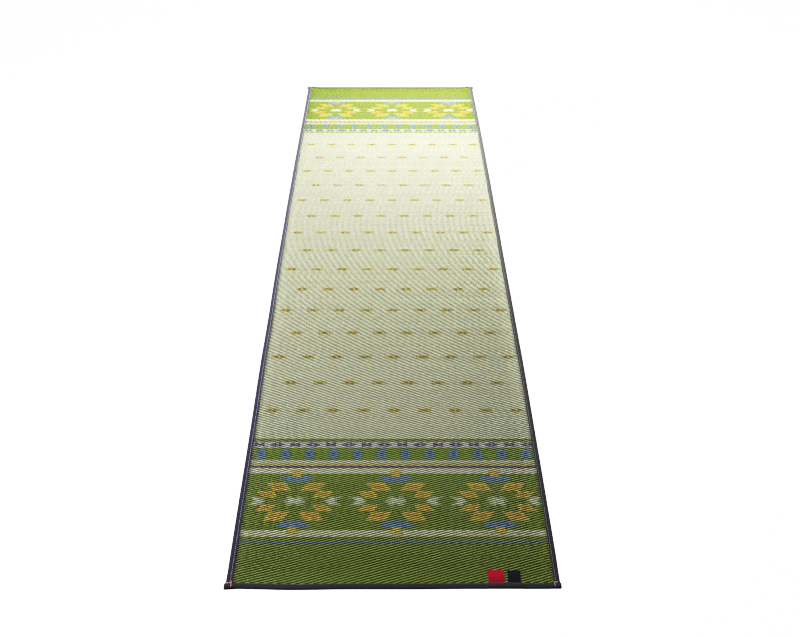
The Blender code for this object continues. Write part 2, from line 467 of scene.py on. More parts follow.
# Painted shadow of the binding's edge on the stalks beside it, most in the near half: the share of
# light they keep.
BINDING_SHADOW_COLUMNS = {2: 0.42, 3: 0.8, WARPS - 4: 0.95, WARPS - 3: 0.75}


def inside(across, along, corners):
    """Where points lie inside a four-cornered shape given in order."""
    turning = []
    for here, there in zip(corners, corners[1:] + corners[:1]):
        turning.append(
            (there[0] - here[0]) * (along - here[1]) - (there[1] - here[1]) * (across - here[0])
        )
    turning = np.stack(turning)
    return (turning >= -1e-6).all(axis=0) | (turning <= 1e-6).all(axis=0)


def bow(across, along, half_length, half_height, waist):
    """A bow-tie: full height at its ends, narrow at its waist."""
    height = waist + (half_height - waist) * np.abs(across) / half_length
    return (np.abs(across) <= half_length) & (np.abs(along) <= height)


def spindle(across, along, half_length, half_height):
    """A long diamond."""
    height = half_height * (1 - np.abs(across) / half_length)
    return np.abs(along) <= height


def heart(across, along, half_length, half_height):
    """The few floats where a motif's two halves meet."""
    return (np.abs(across) <= half_length) & (np.abs(along) <= half_height)


def paint(chart, where, yarn):
    """Sets the yarn where a mask is true."""
    chart[where] = YARN_NUMBERS[yarn]


def design_rows():
    """Where every rush falls in the design: from the near end, and from the nearer end."""
    rows = SHEET_INSET + (np.arange(ROWS) + 0.5) * ROW_PITCH
    design = rows / MM + read_table(BEATING["along"], BEATING["early"], rows / LENGTH)
    middle = DESIGN_MIDDLE / MM
    return design, np.where(design < middle, design, 2 * middle - design)


def banded_rows(from_end):
    """The rows that each band covers, with its yarn."""
    start = 0.0
    for band in BANDS:
        yield (from_end >= start) & (from_end < band["to"]), band["yarn"]
        start = band["to"]


def weave_chart():
    """The yarn of every rush between every two warps, as numbers in rows and columns."""
    row_middles, from_end = design_rows()
    chart = np.zeros((ROWS, WARPS), dtype=int)
    for covered, yarn in banded_rows(from_end):
        paint(chart, covered, yarn)
    columns = np.arange(WARPS) + 0.5
    along = from_end[:, None]

    def from_column(column):
        return ((columns - column) * WARP_PITCH / MM)[None, :]

    for column in MEDALLION_COLUMNS:
        across = np.abs(from_column(column))
        up = np.abs(along - MEDALLION_AT)
        for shape in MEDALLION:
            paint(chart, inside(across, up, shape["corners"]), shape["yarn"])
    for number in range(SQUARES["count"]):
        across = from_column(SQUARES["first"] + SQUARES["pitch"] * number)
        up = along - SQUARES["at"]
        for layer in SQUARE_LAYERS:
            covered = (np.abs(up) < layer["high"]) & (np.abs(across) < layer["wide"])
            paint(chart, covered, layer["yarn"])
    for number in range(BORDER_MOTIFS["count"]):
        across = from_column(BORDER_MOTIFS["first"] + BORDER_MOTIFS["pitch"] * number)
        up = along - BORDER_MOTIFS["at"]
        if number % 2:
            paint(chart, spindle(across, up, 17, 7.0), "slate")
            paint(chart, heart(across, up, 1, 9.0), "lavender")
        else:
            paint(chart, bow(across, up, 10.5, 6.0, 2.4), "slate")
    for number in range(FIELD_ROWS):
        offset = number - FIELD_ROWS // 2
        count = 9 if offset % 2 else 8
        up = row_middles[:, None] - (DESIGN_MIDDLE + offset * FIELD_PITCH) / MM
        for motif in range(count):
            across = from_column(FIELD_FIRST[count] + FIELD_MOTIF_PITCH * motif)
            if motif % 2:
                paint(chart, bow(across, up, 12.5, 6.2, 3.6), "bronze")
                paint(chart, heart(across, up, 7, 3.0), "olive")
            else:
                paint(chart, spindle(across, up, 20, 7.0), "bronze")
                paint(chart, heart(across, up, 9, 3.6), "olive")
                paint(chart, heart(across, up, 3, 6.0), "amber")
    return chart


def yarn_colours(chart, random):
    """A colour for every stretch of rush: its yarn's, lighter and darker from stalk to stalk, with
    shadow painted beside the binding.
    """
    palette = np.array([YARNS[yarn][:3] for yarn in YARNS])
    colours = palette[chart]
    stalks = random.normal(0.0, 0.035, (ROWS, 1, 1))
    slow = np.cumsum(random.normal(0.0, 0.006, (ROWS, WARPS, 1)), axis=1)
    patches = random.normal(0.0, 0.045, (ROWS, WARPS, 1))
    tints = random.normal(0.0, 0.006, (ROWS, 1, 3))
    factor = np.clip(1 + stalks + slow + patches + tints, 0.6, 1.5)
    # Painted shadow of the binding's edge, strongest in the near half.
    binding_shadow_strength = 1 - 0.8 * ease((np.arange(ROWS) / ROWS - 0.35) / 0.3)
    for column, kept in BINDING_SHADOW_COLUMNS.items():
        factor[:, column] *= 1 - (1 - kept) * binding_shadow_strength[:, None]
    shaded = np.clip(colours * factor, 0.0, 1.0)
    return np.concatenate((shaded, np.ones((ROWS, WARPS, 1))), axis=2)


# Finishes.

# Painted shade: what is left of each colour where a stalk dives between its neighbours.
CREVICE_SHADE_TINT = (0.15, 0.15, 0.12, 1.0)

# The tape's sheen tint, and a lighter colour painted towards the far end for the glare of the
# stronger light there, with its share at the far end.
TAPE_BLOOM = (0.58, 0.57, 0.7, 1.0)
FAR_GLARE_TAPE = linear(104, 106, 106)
FAR_GLARE_SHARE = 0.27


def rush_finish():
    """Waxy rush stalks in a twill, with shade painted where each one dives under a warp and
    highlights painted on their tops.
    """
    finish = Finish("rush_weave", 0.6, Specular_IOR_Level=0.0, Coat_Roughness=0.42)
    weave = finish.node("ShaderNodeUVMap", settings={"uv_map": "weave"})
    warp, row, _ = finish.split(weave)
    stalk = row.whole()
    through = row.part()
    dive = (((warp - stalk) / TWILL + 0.5).part() - 0.5).size() * TWILL
    under = 1 - dive.step(0.5, 2.05)
    edge = (through - 0.5).size() * 2
    gap = edge.step(0.72, 1.0)
    fibre_place = finish.place(warp * 0.9, row * 9.0, stalk * 3.7)
    fibre = finish.noise(fibre_place, 1.0, 3.0)
    blotch = finish.noise(finish.place(warp * 0.16, row * 0.05, 0.0), 1.0, 2.0)
    colour = finish.node(
        "ShaderNodeAttribute",
        settings={"attribute_name": "rush_colour", "attribute_type": "GEOMETRY"},
    )
    # Tone from fibres and blotches, and painted highlight brightening each float in its middle.
    light = (fibre * 0.36 + 0.82) * (blotch * 0.24 + 0.88) * (dive.step(1.0, 2.0) * 0.15 + 0.95)
    # Painted shade where a stalk dives under a warp and in the gaps between stalks.
    painted_crevice_shade = 1 - (1 - under) * (1 - gap * 0.65)
    deep = finish.blend(
        1.0, finish.node("ShaderNodeGamma", Color=colour, Gamma=1.4), CREVICE_SHADE_TINT, "MULTIPLY"
    )
    # Painted highlight: a paler colour on the stalks' tops.
    painted_highlight = (1 - painted_crevice_shade) * fibre.step(0.4, 0.8) * 0.3
    painted_highlight_colour = finish.blend(painted_highlight, colour, linear(222, 226, 206))
    finish.give("Base Color", finish.dim(finish.blend(painted_crevice_shade, painted_highlight_colour, deep), light))
    finish.give("Roughness", fibre * 0.2 + 0.5)
    finish.give("Coat Weight", (1 - painted_crevice_shade) * (fibre * 0.4 + 0.5))
    round_stalk = (1 - edge * edge) * (1 - under * 0.6)
    finish.bump(round_stalk * 0.8 + fibre * 0.18 - under * 0.9, 0.45 * MM, 0.9)
    return finish.material


def tape_finish(name, dark, pale, sheen):
    """Close-woven cotton tape with a soft sheen and some lint, painted lighter towards the far end
    for the glare of the stronger light there.
    """
    finish = Finish(name, 0.85, Specular_IOR_Level=0.15, Sheen_Weight=sheen, Sheen_Roughness=0.4)
    finish.give("Sheen Tint", TAPE_BLOOM)
    spot = finish.node("ShaderNodeTexCoord", output="Object")
    x, y, z = finish.split(spot)
    threads = 2600.0
    weft = (x * threads).maths("SINE") * 0.5 + 0.5
    filling = (y * threads).maths("SINE") * 0.5 + 0.5
    lint = finish.noise(spot, 900.0, 3.0)
    wear = finish.noise(spot, 60.0, 3.0)
    weave = weft * filling
    shade = (weave * 0.5 + lint.step(0.45, 0.75) * 0.5) * (wear * 0.9 + 0.35)
    # Painted light: lighter towards the far end, for the glare of the stronger light there.
    far_glare = y.step(-0.6, LENGTH / 2) * FAR_GLARE_SHARE
    finish.give("Base Color", finish.blend(far_glare, finish.blend(shade, dark, pale), FAR_GLARE_TAPE))
    finish.give("Roughness", 0.9 - weave * 0.2)
    finish.bump(weave + lint * 0.5, 0.12 * MM, 0.8)
    return finish.material


def thread_finish(name, light_colour, dark_colour, roughness):
    """Twisted sewing thread: slanting plies across each stitch."""
    finish = Finish(name, roughness, Sheen_Weight=0.3)
    spot = finish.node("ShaderNodeTexCoord", output="Object")
    x, y, z = finish.split(spot)
    ply = ((x + y + z) * 9000.0).maths("SINE") * 0.5 + 0.5
    fuzz = finish.noise(spot, 1500.0, 2.0)
    finish.give("Base Color", finish.blend(ply * 0.6 + fuzz * 0.4, dark_colour, light_colour))
    finish.give("Roughness", fuzz * 0.3 + roughness - 0.15)
    finish.bump(ply, 0.1 * MM, 0.7)
    return finish.material


def label_finish(name, light_colour, dark_colour):
    """Fine satin-woven label: close ribs, smooth face, and shade painted darker towards its root
    under the tape.
    """
    finish = Finish(name, 0.5, Specular_IOR_Level=0.05)
    spot = finish.node("ShaderNodeTexCoord", output="Object")
    x, y, z = finish.split(spot)
    rib = (y * 9000.0).maths("SINE") * 0.5 + 0.5
    thread = (x * 14000.0).maths("SINE") * 0.5 + 0.5
    cloud = finish.noise(spot, 400.0, 3.0)
    # Painted shade: darker towards the root, where the label curves down under the tape.
    painted_root_shade = y.step(LABEL_ROOT - LENGTH / 2, 26 * MM - LENGTH / 2) * 0.75 + 0.25
    share = (rib * 0.35 + thread * 0.15 + cloud * 0.5) * painted_root_shade
    finish.give("Base Color", finish.blend(share, dark_colour, light_colour))
    finish.give("Roughness", cloud * 0.3 + 0.4)
    finish.bump(rib + thread * 0.5, 0.08 * MM, 0.7)
    return finish.material


# The woven sheet.

# The lines that its smooth underside keeps: close ones beside an edge, where the sheet rises over
# the tapes, and then one in so many.
EDGE_COLUMNS = (3, 5, 7, 9, 11)
COLUMN_STRIDE = 9
EDGE_ROWS = (8, 15, 22, 29, 36)
ROW_STRIDE = 14


def bottom_steps(count, edge_steps, stride, starts, ends):
    """Numbers of the lines that the sheet's smooth underside keeps."""
    steps = {0, count}
    if starts:
        steps.update(edge_steps)
    if ends:
        steps.update(count - step for step in edge_steps)
    low = max(edge_steps) if starts else 0
    high = count - max(edge_steps) if ends else count
    steps.update(range(low, high, stride))
    return sorted(steps)


def rush_heights(random):
    """Height of the weave over the sheet's top, at every line between rushes and every warp."""
    stalks = np.arange(ROWS)
    warps = np.arange(WARPS + 1)
    phase = (warps[None, :] - stalks[:, None]) % TWILL
    heights = np.array(FLOAT_HEIGHTS)[phase]
    heights = heights + random.normal(0.0, 0.05 * MM, (ROWS, 1))
    heights = heights + random.normal(0.0, 0.03 * MM, heights.shape)
    lines = np.empty((ROWS + 1, WARPS + 1))
    lines[1:-1] = (heights[:-1] + heights[1:]) / 2
    lines[0] = heights[0]
    lines[-1] = heights[-1]
    return lines


def rush_pieces(finish):
    """The woven sheet, in lengths that lie end to end, each with its own share of the chart."""
    random = np.random.default_rng(7)
    colours = yarn_colours(weave_chart(), random)
    relief = rush_heights(random)
    across_places = -WIDTH / 2 + SHEET_INSET + np.arange(WARPS + 1) * WARP_PITCH
    along_places = SHEET_INSET + np.arange(ROWS + 1) * ROW_PITCH
    sway = np.cumsum(random.normal(0.0, 0.02 * MM, (ROWS + 1, WARPS + 1)), axis=1)
    sway -= sway.mean(axis=1, keepdims=True)
    sway[::ROWS_A_PIECE] = 0.0
    for number in range(SHEET_PIECES):
        low = number * ROWS_A_PIECE
        rows = slice(low, low + ROWS_A_PIECE + 1)
        across = np.broadcast_to(across_places[None, :], (ROWS_A_PIECE + 1, WARPS + 1))
        along = np.broadcast_to(along_places[rows, None], across.shape)
        squeeze, under = sheet_squeeze(across, along)
        top = sheet_top(across, along) + relief[rows] * (1 - 0.6 * squeeze)
        upper = place(across, along + sway[rows], top)
        first_piece = number == 0
        last_piece = number == SHEET_PIECES - 1
        columns_kept = bottom_steps(WARPS, EDGE_COLUMNS, COLUMN_STRIDE, True, True)
        rows_kept = bottom_steps(ROWS_A_PIECE, EDGE_ROWS, ROW_STRIDE, first_piece, last_piece)
        kept = np.ix_(rows_kept, columns_kept)
        lower = place(across[kept], along[kept], under[kept])
        name = f"rush_length_{number + 1}"
        piece = woven_length(name, upper, lower, rows_kept, columns_kept, finish)
        paint_length(piece, colours[low : low + ROWS_A_PIECE], low, rows_kept, columns_kept)
        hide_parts("mat_sheet")


def woven_length(name, upper, lower, rows_kept, columns_kept, finish):
    """A closed mesh of one length: woven top, smooth underside and four walls."""
    columns = WARPS + 1
    rows = ROWS_A_PIECE + 1
    faces = grid_faces(0, rows, columns)
    first = rows * columns
    faces += grid_faces(first, len(rows_kept), len(columns_kept), flip=True)
    kept_columns = len(columns_kept)
    for row, kept_row in ((0, 0), (rows - 1, len(rows_kept) - 1)):
        for step, (start, end) in enumerate(zip(columns_kept, columns_kept[1:])):
            line = [row * columns + column for column in range(start, end + 1)]
            below = first + kept_row * kept_columns + step
            wall = line + [below + 1, below]
            faces.append(wall[::-1] if row == 0 else wall)
    for column, kept_column in ((0, 0), (columns - 1, kept_columns - 1)):
        for step, (start, end) in enumerate(zip(rows_kept, rows_kept[1:])):
            line = [row * columns + column for row in range(start, end + 1)]
            below = first + step * kept_columns + kept_column
            wall = line + [below + kept_columns, below]
            faces.append(wall if column == 0 else wall[::-1])
    return make_piece(name, np.concatenate((upper, lower)), faces, finish)


def paint_length(piece, colours, low, rows_kept, columns_kept):
    """Gives one length its stalk colours, its place in the weave and a flat map for baking."""
    mesh = piece.data
    columns = np.arange(WARPS + 1)
    rows = np.arange(ROWS_A_PIECE + 1)
    point_columns = np.concatenate(
        (np.tile(columns, len(rows)), np.tile(columns_kept, len(rows_kept)))
    )
    point_rows = np.concatenate(
        (np.repeat(rows, len(columns)), np.repeat(rows_kept, len(columns_kept)))
    )
    corners = np.empty(len(mesh.loops), dtype=np.int32)
    mesh.loops.foreach_get("vertex_index", corners)
    write_map(mesh, "weave", point_columns[corners], point_rows[corners] + low)

    # The flat map: the woven top in its lower three quarters, the underside above it, and the
    # walls in narrow strips between them.
    first_lower = ROWS_A_PIECE * WARPS
    first_wall = first_lower + (len(rows_kept) - 1) * (len(columns_kept) - 1)
    first_side_wall = first_wall + 2 * (len(columns_kept) - 1)
    sizes = np.empty(len(mesh.polygons), dtype=np.int32)
    mesh.polygons.foreach_get("loop_total", sizes)
    face = np.repeat(np.arange(len(sizes)), sizes)
    across_share = point_columns[corners] / WARPS
    along_share = point_rows[corners] / ROWS_A_PIECE
    is_lower = corners >= len(rows) * len(columns)
    side_wall = face >= first_side_wall
    end_wall = (face >= first_wall) & ~side_wall
    flat_across = 0.002 + 0.996 * np.where(side_wall, along_share, across_share)
    top_along = 0.002 + 0.750 * along_share
    flat_along = np.where(face < first_lower, top_along, 0.770 + 0.228 * along_share)
    flat_along = np.where(end_wall, np.where(is_lower, 0.760, 0.764), flat_along)
    flat_along = np.where(side_wall, np.where(is_lower, 0.754, 0.758), flat_along)
    write_map(mesh, "OFBake", flat_across, flat_along)

    face_colours = np.ones((len(sizes), 4), dtype=np.float32)
    face_colours[:first_lower] = colours.reshape(-1, 4)
    ground = ground_colours(low)
    middles = np.array(rows_kept[:-1]) + np.diff(rows_kept) // 2
    underside = np.repeat(ground[middles], len(columns_kept) - 1, axis=0)
    face_colours[first_lower:first_wall] = underside
    face_colours[first_wall:] = ground[0]
    attribute = mesh.attributes.new("rush_colour", "FLOAT_COLOR", "FACE")
    attribute.data.foreach_set("color", face_colours.ravel())


def write_map(mesh, name, across, along):
    """Adds a UV map from its two coordinates at every face corner."""
    layer = mesh.uv_layers.new(name=name)
    layer.uv.foreach_set("vector", np.stack((across, along), axis=1).ravel().astype(np.float32))


def ground_colours(low):
    """The ground yarn's colour of each row of one length, for its underside."""
    from_end = design_rows()[1][low : low + ROWS_A_PIECE]
    colours = np.empty((ROWS_A_PIECE, 4), dtype=np.float32)
    for covered, yarn in banded_rows(from_end):
        colours[covered] = YARNS[yarn]
    return colours


# The binding.

# The tape's two faces: how deep each lies in the cloth, and its points on a leg and on the fold.
TAPE_FACES = (
    {"inward": 0.0, "leg_points": 5, "fold_points": 11},
    {"inward": TAPE, "leg_points": 2, "fold_points": 4},
)


def fold_line(height, width, turn, inward, leg_points, fold_points):
    """One face of the folded tape's section, as (reach from the outer edge, height) points."""
    radius = height / 2
    leg = np.linspace(width, turn, leg_points, endpoint=False)
    angles = np.linspace(0, math.pi, fold_points)
    under = np.stack((leg, np.full(leg_points, inward)), axis=1)
    curve = np.stack(
        (turn - (turn - inward) * np.sin(angles), radius - (radius - inward) * np.cos(angles)),
        axis=1,
    )
    over = np.stack((leg[::-1], np.full(leg_points, height - inward)), axis=1)
    return np.concatenate((under, curve, over))


def pucker(reach, along_stitches, stitch_reach, width):
    """How far the tape's upper leg sinks at its stitches and swells between them and the fold."""
    valley = np.exp(-(((reach - stitch_reach) / (1.1 * MM)) ** 2))
    pull = 0.65 + 0.35 * np.cos(2 * math.pi * along_stitches)
    swell = np.exp(-(((reach - 0.5 * stitch_reach) / (2.2 * MM)) ** 2))
    lip = ease((reach - stitch_reach) / (width - stitch_reach))
    return -0.34 * MM * valley * pull + 0.12 * MM * swell - 0.10 * MM * lip


def side_tape(side, finish):
    """The tape down one long side, drawn in by its stitches."""
    sign = -1 if side == "left" else 1
    random = np.random.default_rng(11 if side == "left" else 12)
    count = int((LENGTH - 2 * SIDE_TAPE_INSET) / (STITCH_PITCH / 2))
    stations = np.linspace(SIDE_TAPE_INSET, LENGTH - SIDE_TAPE_INSET, count)
    lift = LIFT * rise(end_distance(stations), END_TAPE_WIDTH)
    waver = 0.25 * MM * np.sin(stations * 23 + sign) + 0.2 * MM * np.sin(stations * 71)
    waver = waver + random.normal(0, 0.05 * MM, count)
    swell = SIDE_SWELL * ease((stations / LENGTH - 0.45) / 0.3)
    points = []
    lines = []
    for face in TAPE_FACES:
        line = fold_line(SIDE_TAPE_HEIGHT, SIDE_LEG, SIDE_TURN, **face)
        reach = np.broadcast_to(line[None, :, 0], (count, len(line)))
        level = np.broadcast_to(line[None, :, 1], reach.shape)
        on_top = (level > SIDE_TAPE_HEIGHT * 0.6) & (reach > SIDE_TAPE_HEIGHT / 2)
        sunk = pucker(reach, stations[:, None] / STITCH_PITCH, STITCH_REACH, SIDE_LEG)
        level = level + np.where(on_top, sunk, 0.0) + lift[:, None]
        tip_share = ease((reach - STITCH_REACH) / (SIDE_LEG - STITCH_REACH))
        reach = reach + waver[:, None] * tip_share
        reach = reach - swell[:, None] * (1 - ease(reach / SIDE_LEG))
        along = np.broadcast_to(stations[:, None], reach.shape)
        points.append(place(sign * (WIDTH / 2 - reach), along, level))
        lines.append(len(line))
    faces = tape_faces(count, lines, sign > 0, closed=False)
    points = np.concatenate(points)
    piece = make_piece(f"tape_{side}", points, faces, finish, 60)
    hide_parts(f"binding_{side}")


def tape_faces(count, lines, flip, closed):
    """Faces of a folded strip: outside, inside, rims, and ends that are cut or closed off."""
    outer, inner = lines
    first_inner = count * outer
    faces = grid_faces(0, count, outer, flip=flip)
    faces += grid_faces(first_inner, count, inner, flip=not flip)
    for outer_tip, inner_tip in ((0, 0), (outer - 1, inner - 1)):
        outer_line = [row * outer + outer_tip for row in range(count)]
        inner_line = [first_inner + row * inner + inner_tip for row in range(count)]
        strip = strip_faces(outer_line, inner_line)
        turned = (outer_tip == 0) != flip
        faces += strip if turned else [face[::-1] for face in strip]
    for row in (0, count - 1):
        outer_line = [row * outer + step for step in range(outer)]
        inner_line = [first_inner + row * inner + step for step in range(inner)]
        if closed:
            rim = [outer_line[0], outer_line[-1], inner_line[-1], inner_line[0]]
            ends = [outer_line, inner_line[::-1], rim]
        else:
            ends = [outer_line + inner_line[::-1]]
        turned = (row == 0) != flip
        faces += [face[::-1] for face in ends] if turned else ends
    return faces


def lap_share(across):
    """1 over a side tape, falling to 0 beside it."""
    inner_edge = WIDTH / 2 - SIDE_TAPE_WIDTH - 2 * CLEARANCE
    return 1 - ease((inner_edge - np.abs(across)) / LAP_RUN)


def label_share(across):
    """1 over the roots of the labels, falling to 0 beside them."""
    first = min(label["left"] for label in LABELS.values()) - 2 * CLEARANCE
    last = max(label["left"] + label["width"] for label in LABELS.values()) + 2 * CLEARANCE
    outside = np.maximum(np.maximum(first - across, across - last), 0)
    return 1 - ease(outside / LABEL_RUN)


def end_tape_height(end, across):
    """Height of the end tape's fold: over the sheet, the side tapes and the labels' roots."""
    height = sheet_top(across, 0.0) + LIFT + LIFT * lap_share(across)
    if end == "near":
        height = height + (LABEL + CLEARANCE) * label_share(across)
    return height


def end_tape(end, finish):
    """The tape across one end, closed over the ends of the side tapes."""
    swell = SIDE_SWELL if end == "far" else 0.0
    left_end = -(WIDTH / 2 + CORNER_OUT[(end, "left")] + swell)
    right_end = WIDTH / 2 + CORNER_OUT[(end, "right")] + swell
    count = int((right_end - left_end) / (STITCH_PITCH / 2))
    stations = np.linspace(left_end, right_end, count)
    to_end = np.minimum(stations - left_end, right_end - stations)
    shrink = 0.72 + 0.28 * np.sqrt(np.clip(1 - (1 - to_end / CORNER_SOFTENS) ** 2, 0, 1))
    shrink[to_end >= CORNER_SOFTENS] = 1.0
    points = []
    lines = []
    for face in TAPE_FACES:
        outside = face["inward"] == 0
        places = stations if outside else np.clip(stations, left_end + TAPE, right_end - TAPE)
        height = end_tape_height(end, places)
        sections = np.stack([fold_line(tall, END_LEG, END_TURN, **face) for tall in height])
        reach = sections[:, :, 0]
        level = sections[:, :, 1]
        if outside:
            middle = height[:, None] * 0.45
            level = middle + (level - middle) * shrink[:, None]
            level = level - level.min(axis=1, keepdims=True) * (shrink[:, None] < 1)
            reach = END_LEG + (reach - END_LEG) * (0.5 + 0.5 * shrink[:, None])
        on_top = (level > height[:, None] * 0.6) & (reach > SIDE_TAPE_HEIGHT / 2)
        sunk = pucker(reach, places[:, None] / STITCH_PITCH, END_STITCH_REACH, END_LEG)
        level = level + np.where(on_top, sunk, 0.0)
        across = np.broadcast_to(places[:, None], reach.shape)
        reach = reach - END_SWELL[end] * (1 - ease(reach / END_LEG))
        along = reach if end == "near" else LENGTH - reach
        points.append(place(across, along, level))
        lines.append(reach.shape[1])
    faces = tape_faces(count, lines, end == "near", closed=True)
    points = np.concatenate(points)
    piece = make_piece(f"tape_{end}", points, faces, finish, 60)
    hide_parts(f"binding_{end}")


# Sewing.


def thread_tube(path, radius):
    """A closed tube of thread along a short path of points."""
    steps = len(path)
    sides = THREAD_SIDES
    tangents = np.gradient(path, axis=0)
    tangents /= np.linalg.norm(tangents, axis=1, keepdims=True)
    up = np.array((0.0, 0.0, 1.0))
    side = np.cross(tangents, up)
    side /= np.linalg.norm(side, axis=1, keepdims=True) + 1e-12
    lift = np.cross(side, tangents)
    angles = 2 * math.pi * np.arange(sides) / sides
    rings = (
        path[:, None, :]
        + radius * np.cos(angles)[None, :, None] * side[:, None, :]
        + radius * np.sin(angles)[None, :, None] * lift[:, None, :]
    )
    faces = []
    for here in range(0, (steps - 1) * sides, sides):
        for corner in range(sides):
            there = (corner + 1) % sides
            faces.append((here + corner, here + sides + corner, here + sides + there, here + there))
    faces.append(tuple(range(sides)))
    faces.append(tuple(reversed(range((steps - 1) * sides, steps * sides))))
    return rings.reshape(-1, 3), faces


def sewn_piece(name, paths, radius, finish):
    """Many short threads as one mesh."""
    points = []
    faces = []
    total = 0
    for path in paths:
        ring_points, ring_faces = thread_tube(path, radius)
        points.append(ring_points)
        faces += [tuple(corner + total for corner in face) for face in ring_faces]
        total += len(ring_points)
    make_piece(name, np.concatenate(points), faces, finish, 70)


def stitch_path(start, end, sink, arch, steps=5):
    """A stitch between two points that dives into the cloth at both."""
    shares = np.linspace(0, 1, steps)
    path = np.outer(1 - shares, start) + np.outer(shares, end)
    path[:, 2] += arch * np.sin(math.pi * shares) - sink * (np.cos(math.pi * shares) ** 8)
    return path


def stitch_ends(start):
    """Where a stitch comes up and where it dives, along its row."""
    return np.array((start, start + STITCH_LENGTH)) + (STITCH_PITCH - STITCH_LENGTH) / 2


def stitch_pair(upper, lower):
    """One stitch over the tape and the next one under it, each between its two ends."""
    return [
        stitch_path(*upper, 0.25 * MM, 0.22 * MM),
        stitch_path(*lower, -0.25 * MM, -0.05 * MM),
    ]


def side_stitches(side, finish):
    """Running stitches along a side tape's inner edge, above and below."""
    sign = -1 if side == "left" else 1
    random = np.random.default_rng(31 if side == "left" else 32)
    starts = np.arange(END_TAPE_WIDTH + 2 * MM, LENGTH - END_TAPE_WIDTH - 3 * MM, STITCH_PITCH)
    paths = []
    for start in starts:
        across = sign * (WIDTH / 2 - (STITCH_REACH + random.normal(0, STITCH_SLIP, 2)))
        ends = stitch_ends(start)
        lift = LIFT * rise(end_distance(ends), END_TAPE_WIDTH)
        upper = place(across, ends, SIDE_TAPE_HEIGHT - 0.05 * MM + lift)
        lower = place(across, ends + STITCH_PITCH / 2, UNDER_STITCH + lift)
        paths += stitch_pair(upper, lower)
    sewn_piece(f"stitches_{side}", paths, THREAD, finish)


def end_stitches(end, finish):
    """Running stitches along an end tape's inner edge, above and below."""
    random = np.random.default_rng(33 if end == "near" else 34)
    inner_edge = WIDTH / 2 - SIDE_TAPE_WIDTH - 2 * MM
    starts = np.arange(-inner_edge, inner_edge - STITCH_PITCH, STITCH_PITCH)
    paths = []
    for start in starts:
        reach = END_STITCH_REACH + random.normal(0, STITCH_SLIP, 2)
        along = reach if end == "near" else LENGTH - reach
        ends = stitch_ends(start)
        upper = place(ends, along, end_tape_height(end, ends) - 0.05 * MM)
        lower = place(ends + STITCH_PITCH / 2, along, UNDER_STITCH)
        paths += stitch_pair(upper, lower)
    sewn_piece(f"stitches_{end}", paths, END_THREAD, finish)


def corner_tacks(end, finish):
    """Two short bars of close stitches at each corner of an end, across each of the tapes."""
    random = np.random.default_rng(41 if end == "near" else 42)
    paths = []
    for side in ("left", "right"):
        sign = -1 if side == "left" else 1
        short = (end, side) == ("near", "right")

        def level_at(reach_across):
            return float(end_tape_height(end, sign * (WIDTH / 2 - reach_across)))

        def add(first, second, level):
            """One stitch between two points, given as reaches in from the side and from the end."""
            reach_across, reach_along = np.array((first, second)).T
            along = reach_along if end == "near" else LENGTH - reach_along
            ends = place(sign * (WIDTH / 2 - reach_across), along, level)
            paths.append(stitch_path(*ends, 0.2 * MM, 0.2 * MM, 4))

        bar_start = 5.5 * MM if short else -CORNER_OUT[(end, side)] * 0.3
        for reach in np.arange(bar_start, 10.5 * MM, TACK_PITCH):
            slip = random.normal(0, TACK_SLIP)
            root = END_TAPE_WIDTH - TACK_HALF - 0.7 * MM + slip
            tip = END_TAPE_WIDTH + TACK_HALF * 0.2 + slip
            add((reach, root), (reach + TACK_SLANT, tip), level_at(reach) - 0.25 * MM)
        bar_end = END_LEG if short else END_TAPE_WIDTH + 3.5 * MM
        for reach in np.arange(0.5 * MM, bar_end, TACK_PITCH):
            slip = random.normal(0, TACK_SLIP)
            top = level_at(TACK_INNER_EDGE)
            drop = top / 2 * (1 - math.sqrt(1 - max(1 - reach / END_TURN, 0) ** 2))
            level = top - drop + 0.02 * MM
            if reach > END_TAPE_WIDTH:
                level = SIDE_TAPE_HEIGHT + LIFT - 0.05 * MM
            root = TACK_INNER_EDGE - TACK_HALF + slip
            tip = TACK_INNER_EDGE + TACK_HALF + slip
            add((root, reach), (tip, reach + TACK_SLANT), level)
    sewn_piece(f"corner_tacks_{end}", paths, TACK_THREAD, finish)


# Labels.


def label_tab(name, finish):
    """A woven label doubled over, its fold at the free end, its root under the near tape."""
    label = LABELS[name]
    columns = 13
    thickness = LABEL - 0.1 * MM
    across = label["left"] + np.linspace(0, label["width"], columns)
    reach = np.concatenate(([LABEL_ROOT], np.linspace(END_TAPE_WIDTH, label["reach"], 12)))
    tip = label["reach"] - thickness / 2
    reach[-1] = tip
    grid_across, grid_along = np.meshgrid(across, reach)
    base = sheet_top(grid_across, grid_along) + CLEARANCE
    free = ease((grid_along - END_TAPE_WIDTH) / (label["reach"] - END_TAPE_WIDTH))
    middle_share = (grid_across - label["left"]) / label["width"] - 0.5
    base = base + 0.35 * MM * free**2 * (2 * np.abs(middle_share)) ** 2
    rows = list(zip(grid_across, grid_along, base))
    for angle in np.linspace(-60, 60, 5):
        bend = math.radians(angle)
        along = tip + thickness / 2 * math.cos(bend)
        level = base[-1] + thickness / 2 + thickness / 2 * math.sin(bend)
        rows.append((grid_across[-1], np.full(columns, along), level))
    rows += list(zip(grid_across, grid_along, base + thickness))[::-1]
    points = np.concatenate([place(*row) for row in rows])
    faces = grid_faces(0, len(rows), columns, flip=True)
    for column in (0, columns - 1):
        line = [row * columns + column for row in range(len(rows))]
        faces.append(line[::-1] if column == 0 else line)
    first = list(range(columns))
    last = [(len(rows) - 1) * columns + column for column in range(columns)]
    faces.append(first + last[::-1])
    piece = make_piece(f"woven_{name}", points, faces, finish, 60)
    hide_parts(name)


# The studio.

